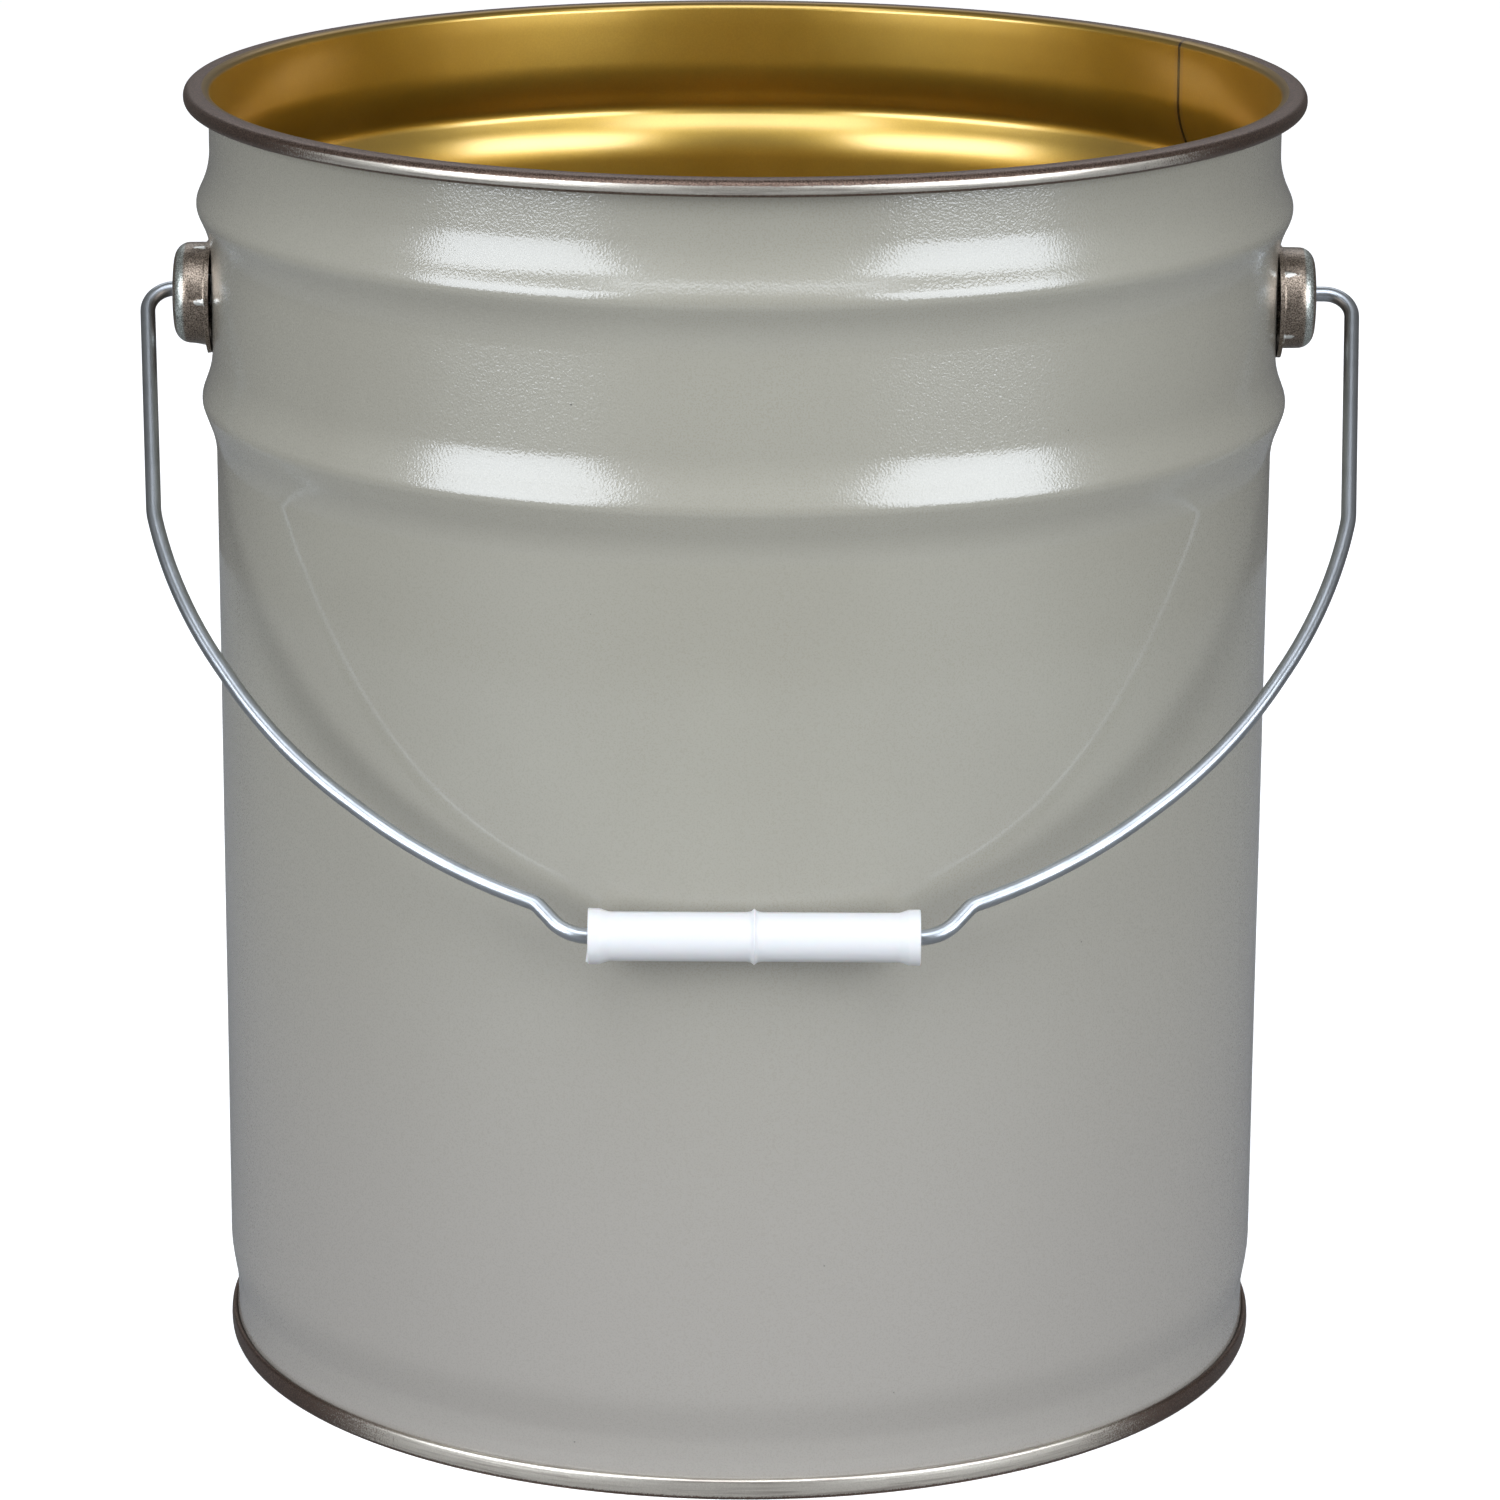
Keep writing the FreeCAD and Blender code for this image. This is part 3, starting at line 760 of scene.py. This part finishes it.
def grey_paint():
    """Gloss grey stoving paint with a few specks and a bare margin along the side weld, and painted bounce
    light from the floor: a touch warmer and lighter towards the foot. Its orange peel is faint on the plain
    wall and full where the hoops were rolled."""
    s = Surface("grey_paint")
    height = s.parts()["Z"]
    colour = s.mix(s.rise(s.noise(90 * MM, 3.0), 0.35, 0.65), *PAINT_GREYS)
    # painted bounce light from the floor: the lower wall's colour turns a touch warmer and lighter
    floor_bounce = s.rise(height, 0.6 * PAIL_HEIGHT, 0.1 * PAIL_HEIGHT)
    colour = s.mix(floor_bounce, colour, PAINT_FLOOR_BOUNCE_GREY)
    speck_place = s.rise(s.spots(11 * MM), 0.028, 0.018)
    speck_choice = s.rise(s.noise(23 * MM, 1.0), 0.55, 0.6)
    colour = s.mix(s.times(speck_place, speck_choice), colour, PAINT_SPECK)
    from_weld = s.from_weld()
    margin = s.rise(from_weld, MARGIN_HALF_WIDTH + 0.3 * MM, MARGIN_HALF_WIDTH)
    colour = s.mix(margin, colour, s.mix(s.noise(1.2 * MM, 4.0), *BARE_MARGIN_GREYS))
    weld = s.rise(from_weld, 2 * WELD_MARK_HALF_WIDTH, WELD_MARK_HALF_WIDTH)
    colour = s.mix(weld, colour, WELD_SCALE)
    rolled = s.rise(height, LOWER_HOOP_Z - 14 * MM, LOWER_HOOP_Z - 4 * MM)
    peel_height = s.times(s.noise(PEEL_SIZE, 1.0), s.span(rolled, PEEL_ON_PLAIN_WALL, 1.0))
    peel = s.bump(peel_height, PEEL_DEPTH)
    grain = s.noise(0.45 * MM, 2.0)
    s.set(base_color=colour, roughness=s.span(grain, 0.22, 0.34), ior=1.5, normal=peel,
          coat_weight=1.0, coat_roughness=0.05, coat_ior=1.5, coat_normal=peel)
    return s.material


def gold_lacquer():
    """Gold epoxy lacquer over tinplate, scorched brown at the side weld and rubbed brown at the rim."""
    s = Surface("gold_lacquer")
    colour = s.mix(s.rise(s.noise(40 * MM, 4.0), 0.3, 0.7), *LACQUER_GOLDS)
    grain = s.noise(0.5 * MM, 3.0, 0.6)
    colour = s.mix(s.rise(grain, 0.2, 0.8), s.mix(0.3, colour, LACQUER_GRAIN), colour)
    from_weld = s.from_weld()
    halo = s.rise(from_weld, 2.6 * MM, 1.2 * MM)
    colour = s.mix(s.times(halo, 0.35), colour, LACQUER_HALO)
    weld = s.rise(from_weld, 0.75 * MM, 0.40 * MM)
    colour = s.mix(weld, colour, LACQUER_SCORCH)
    near_rim = s.rise(s.parts()["Z"], PAIL_HEIGHT - 2.0 * MM, PAIL_HEIGHT - 0.3 * MM)
    colour = s.mix(s.times(near_rim, 0.8), colour, LACQUER_RIM_BROWN)
    fine = s.bump(s.noise(0.6 * MM, 2.0), 0.012 * MM)
    s.set(base_color=colour, metallic=0.9, roughness=s.span(grain, 0.26, 0.38), normal=fine,
          coat_weight=s.span(near_rim, 1.0, 0.0), coat_roughness=0.22, coat_ior=1.85)
    return s.material


def tin_with_tarnish_and_shade(s, tarnish_and_side_shade, streaks):
    """Bare tinplate: silver where worn, brown where the value for tarnish and painted side shade is high,
    with drawn streaks.
    """
    grain = s.noise(0.42 * MM, 3.0, 0.7)
    silver = s.mix(s.rise(streaks, 0.42, 0.72), s.mix(grain, *TIN_SILVERS), TIN_STREAK)
    brown = s.mix(s.rise(grain, 0.3, 0.7), *TIN_BROWNS)
    ragged = s.plus(tarnish_and_side_shade, s.times(s.plus(grain, -0.5), 1.3))
    colour = s.mix(s.rise(ragged, 0.35, 0.75), silver, brown)
    dullness = s.plus(s.times(grain, 0.6), s.times(tarnish_and_side_shade, 0.4))
    relief = s.bump(grain, 0.02 * MM, s.bump(streaks, 0.02 * MM))
    s.set(base_color=colour, metallic=0.95, roughness=s.span(dullness, 0.26, 0.5), normal=relief)


def rim_tin():
    """The curl: brown on its crown and underneath, worn bright on its outer face, with painted shade in
    brown towards the ears.
    """
    s = Surface("rim_tin")
    height = s.parts()["Z"]
    crown = s.rise(height, PAIL_HEIGHT - 2.1 * MM, PAIL_HEIGHT - 1.1 * MM)
    curl_bottom = PAIL_HEIGHT - CURL_HEIGHT
    under = s.rise(height, curl_bottom + 1.3 * MM, curl_bottom + 0.5 * MM)
    patches = s.rise(s.noise(26 * MM, 3.0, 0.6), 0.45, 0.75)
    # brown in random patches is tarnish; brown towards the ears is painted shade for the pail's darker sides
    patches_and_side_shade = s.larger(s.times(patches, 0.55), s.times(s.beside(0.55, 0.92), 0.85))
    tin_with_tarnish_and_shade(s, s.larger(s.larger(crown, under), patches_and_side_shade), s.drawn_streaks(0.05, 1.6))
    return s.material


def bottom_tin():
    """The bottom seam and underside: streaks round the seam, painted shade in brown towards the sides,
    browner at the foot.
    """
    s = Surface("bottom_tin")
    patches = s.rise(s.noise(30 * MM, 4.0, 0.6), 0.4, 0.75)
    foot = s.rise(s.parts()["Z"], 1.9 * MM, 0.5 * MM)
    # brown towards the sides is painted shade; the patches are tarnish
    patches_and_side_shade = s.larger(s.times(s.beside(0.42, 0.92), 0.92), s.times(patches, 0.5))
    tin_with_tarnish_and_shade(s, s.larger(patches_and_side_shade, s.times(foot, 0.75)), s.drawn_streaks(0.04, 1.4))
    return s.material


def ear_steel():
    """Brown-lacquered pressed steel, rubbed bright on the cup's corner and on the gussets."""
    s = Surface("ear_steel")
    reach = s.math("ABSOLUTE", s.parts()["X"])
    face_x = BODY_RADIUS + WAIST_RISE + EAR_HEIGHT
    corner_start = s.rise(reach, face_x - 3.6 * MM, face_x - 2.7 * MM)
    corner_end = s.rise(reach, face_x - 0.8 * MM, face_x - 1.5 * MM)
    rubbed = s.times(corner_start, corner_end)
    grain = s.noise(0.36 * MM, 3.0, 0.65)
    sparkle = s.rise(grain, 0.34, 0.70)
    colour = s.mix(rubbed, s.mix(sparkle, *EAR_BROWNS), s.mix(sparkle, *EAR_STEELS))
    worn = s.add("ShaderNodeAttribute", {}, attribute_name="worn").outputs["Fac"]
    ragged = s.plus(worn, s.times(s.noise(0.9 * MM, 2.0), 0.9))
    colour = s.mix(s.rise(ragged, 0.66, 0.86), colour, EAR_NICK)
    relief = s.bump(grain, 0.03 * MM, s.bump(s.noise(2.5 * MM, 2.0), 0.03 * MM))
    s.set(base_color=colour, metallic=0.95, roughness=s.span(grain, 0.26, 0.46), normal=relief)
    return s.material


def zinc_wire():
    """Bright zinc plating with a blue cast, dulled in patches."""
    s = Surface("zinc_wire")
    grain = s.noise(0.4 * MM, 3.0, 0.6)
    patches = s.noise(9 * MM, 3.0)
    colour = s.mix(s.rise(patches, 0.35, 0.7), *ZINC_BLUES)
    colour = s.mix(s.times(s.rise(grain, 0.55, 0.8), 0.5), colour, ZINC_DULL)
    both = s.times(s.plus(grain, patches), 0.5)
    relief = s.bump(grain, 0.012 * MM)
    s.set(base_color=colour, metallic=1.0, roughness=s.span(both, 0.20, 0.42), normal=relief)
    return s.material


def white_plastic():
    """Injection-moulded white polyethylene, faintly rippled and scuffed."""
    s = Surface("white_plastic")
    scuffs = s.rise(s.noise(2.2 * MM, 5.0, 0.7), 0.60, 0.80)
    colour = s.mix(s.times(scuffs, 0.4), PLASTIC_WHITE, PLASTIC_SCUFF)
    ripple = s.bump(s.noise(3.5 * MM, 2.0), 0.03 * MM)
    relief = s.bump(s.noise(0.5 * MM, 2.0), 0.006 * MM, ripple)
    s.set(base_color=colour, roughness=s.span(s.noise(0.8 * MM, 3.0), 0.30, 0.48), ior=1.5,
          subsurface_weight=0.12, subsurface_scale=0.6 * MM, normal=relief)
    return s.material


def seam_compound():
    """Grey sealing compound, squeezed between the seam's layers."""
    s = Surface("seam_compound")
    grain = s.noise(0.8 * MM, 4.0)
    s.set(base_color=s.mix(grain, *COMPOUND_GREYS), roughness=0.7, normal=s.bump(grain, 0.05 * MM))
    return s.material


def grey(level):
    return (level, level, level)


def pale_floor(name, level, glow):
    """Matt and plain. The glow keeps a floor that only the camera sees as pale as a lit backdrop."""
    s = Surface(name)
    colour = s.mix(s.noise(0.4, 2.0), grey(level), grey(level + 0.04))
    s.set(base_color=colour, roughness=0.9, emission_color=WHITE, emission_strength=glow)
    return s.material


# ---------------------------------------------------------------- studio

# the camera looks down on the pail from the front, with a slight yaw and roll in radians
CAMERA_AT = Vector((0.0, -1.6254, 0.6078))
CAMERA_PITCH = math.radians(15.35)
CAMERA_YAW = 0.0013
CAMERA_ROLL = 0.0052
CAMERA_VIEW_ANGLE = math.radians(13.82)

# two large softboxes beside the camera that lean towards the floor, one light overhead and one behind
SOFTBOX_AZIMUTHS = (math.radians(-47.4), math.radians(47.3))
SOFTBOX_DISTANCE = 2.0
SOFTBOX_MIDDLE_Z = 0.60
SOFTBOX_SIZE = (1.40, 1.38)
SOFTBOX_LEAN = math.radians(33.0)
SOFTBOX_RADIANCE = 5.6
SOFTBOX_COLOUR = (0.94, 1.0, 1.09)
OVERHEAD_AT = Vector((0.0, -1.3, 2.13))
OVERHEAD_SIZE = (2.2, 1.6)
OVERHEAD_RADIANCE = 3.1
REAR_AT = Vector((0.0, 2.0, 2.1))
REAR_SIZE = (2.6, 1.4)
REAR_RADIANCE = 1.4
LIGHT_AIM = Vector((0.0, 0.0, 0.2))
ROOM_LOW = 0.14
ROOM_HIGH = 0.25

# a grey table top that the pail sees, and a white floor that curves up into a backdrop for the camera
TABLE_RADIUS = 0.95
TABLE_Z = -0.5 * MM
TABLE_GREY = 0.24
BACKDROP_PROFILE = ((1.0, 0.0), (4.0, 0.0), (10.0, 0.0), (11.2, 0.3), (11.9, 1.0), (12.0, 2.0), (12.0, 8.0))
BACKDROP_GREY = 0.80
BACKDROP_GLOW = 0.64
DISC_STEPS = 96


def add_camera():
    data = bpy.data.cameras.new("camera")
    data.sensor_width = 36.0
    data.angle = CAMERA_VIEW_ANGLE
    data.clip_start = 0.05
    camera = bpy.data.objects.new("camera", data)
    bpy.context.scene.collection.objects.link(camera)
    tilt = Matrix.Rotation(math.pi / 2 - CAMERA_PITCH, 4, "X")
    roll = Matrix.Rotation(CAMERA_ROLL, 4, "Z")
    yaw = Matrix.Rotation(-CAMERA_YAW, 4, "Z")
    camera.matrix_world = Matrix.Translation(CAMERA_AT) @ yaw @ tilt @ roll
    bpy.context.scene.camera = camera


def add_softbox(name, place, aim, size, radiance):
    """A rectangular light. An area light's power is its radiance times pi times its area."""
    data = bpy.data.lights.new(name, "AREA")
    data.shape = "RECTANGLE"
    data.size, data.size_y = size
    data.energy = radiance * math.pi * size[0] * size[1]
    data.color = SOFTBOX_COLOUR
    light = bpy.data.objects.new(name, data)
    bpy.context.scene.collection.objects.link(light)
    light.location = place
    light.rotation_euler = (aim - place).to_track_quat("-Z", "Y").to_euler()
    light.visible_camera = False


def add_lights():
    leaning_aim = Vector((0, 0, SOFTBOX_MIDDLE_Z - SOFTBOX_DISTANCE * math.tan(SOFTBOX_LEAN)))
    for name, azimuth in zip(("softbox_left", "softbox_right"), SOFTBOX_AZIMUTHS):
        away = Vector((math.sin(azimuth), -math.cos(azimuth), 0)) * SOFTBOX_DISTANCE
        place = away + Vector((0, 0, SOFTBOX_MIDDLE_Z))
        add_softbox(name, place, leaning_aim, SOFTBOX_SIZE, SOFTBOX_RADIANCE)
    add_softbox("overhead", OVERHEAD_AT, LIGHT_AIM, OVERHEAD_SIZE, OVERHEAD_RADIANCE)
    add_softbox("rear", REAR_AT, LIGHT_AIM, REAR_SIZE, REAR_RADIANCE)


def add_world():
    """A dim room: a little brighter overhead than at the horizon."""
    world = bpy.data.worlds.new("studio")
    bpy.context.scene.world = world
    world.use_nodes = True
    tree = world.node_tree
    direction = tree.nodes.new("ShaderNodeTexCoord").outputs["Generated"]
    parts = tree.nodes.new("ShaderNodeSeparateXYZ")
    tree.links.new(direction, parts.inputs[0])
    ramp = tree.nodes.new("ShaderNodeValToRGB")
    tree.links.new(parts.outputs["Z"], ramp.inputs["Fac"])
    for stop, level in zip(ramp.color_ramp.elements, (ROOM_LOW, ROOM_HIGH)):
        stop.color = (*grey(level), 1.0)
    tree.links.new(ramp.outputs["Color"], tree.nodes["Background"].inputs["Color"])


def stage_disc(name, profile, middle_z, material):
    """A round surface about the pail's axis, from its middle out through the profile's (radius, z)."""
    vertices = [(0.0, 0.0, middle_z)]
    for radius, z in profile:
        for angle in azimuths(DISC_STEPS):
            vertices.append((radius * math.cos(angle), radius * math.sin(angle), z))
    faces = []
    for ring in range(len(profile)):
        outer = 1 + ring * DISC_STEPS
        inner = outer - DISC_STEPS
        for i in range(DISC_STEPS):
            j = (i + 1) % DISC_STEPS
            face = (inner + i, outer + i, outer + j, inner + j) if ring else (0, outer + i, outer + j)
            faces.append(face)
    disc = add_mesh(name, vertices, faces, [0] * len(faces), [material])
    return disc


def add_floor():
    """A wide pale floor and backdrop for the camera. The pail itself sees a grey table in a dim room."""
    white = pale_floor("backdrop", BACKDROP_GREY, BACKDROP_GLOW)
    backdrop = stage_disc("backdrop", BACKDROP_PROFILE, 0.0, white)
    backdrop.visible_diffuse = False
    backdrop.visible_glossy = False
    backdrop.visible_shadow = False
    dark = pale_floor("table_top", TABLE_GREY, 0.0)
    table = stage_disc("table_top", [(TABLE_RADIUS, TABLE_Z)], TABLE_Z, dark)
    table.visible_camera = False


# ---------------------------------------------------------------- assembly

def settle(piece, body, node):
    """The piece moves with a body and stands in for a CAD node, which is hidden."""
    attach(piece, body)
    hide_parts(node)


add_camera()
add_lights()
add_world()
add_floor()
bpy.context.scene.view_settings.view_transform = "Standard"

gold = gold_lacquer()
steel = ear_steel()
settle(painted_body(grey_paint(), gold, rim_tin()), "pail", "body_shell")
settle(bottom_panel(bottom_tin(), gold), "pail", "bottom_end")
settle(ear("right_ear", steel, 1, RIGHT_GUSSETS), "pail", "ear_cup_right")
settle(ear("left_ear", steel, -1, LEFT_GUSSETS), "pail", "ear_cup_left")
settle(wire_bail(zinc_wire()), "bail", "bail_wire")
settle(hand_grip(white_plastic()), "handle", "grip")

frame["nodes"]["bottom_seam_compound"].data.materials.clear()
frame["nodes"]["bottom_seam_compound"].data.materials.append(seam_compound())
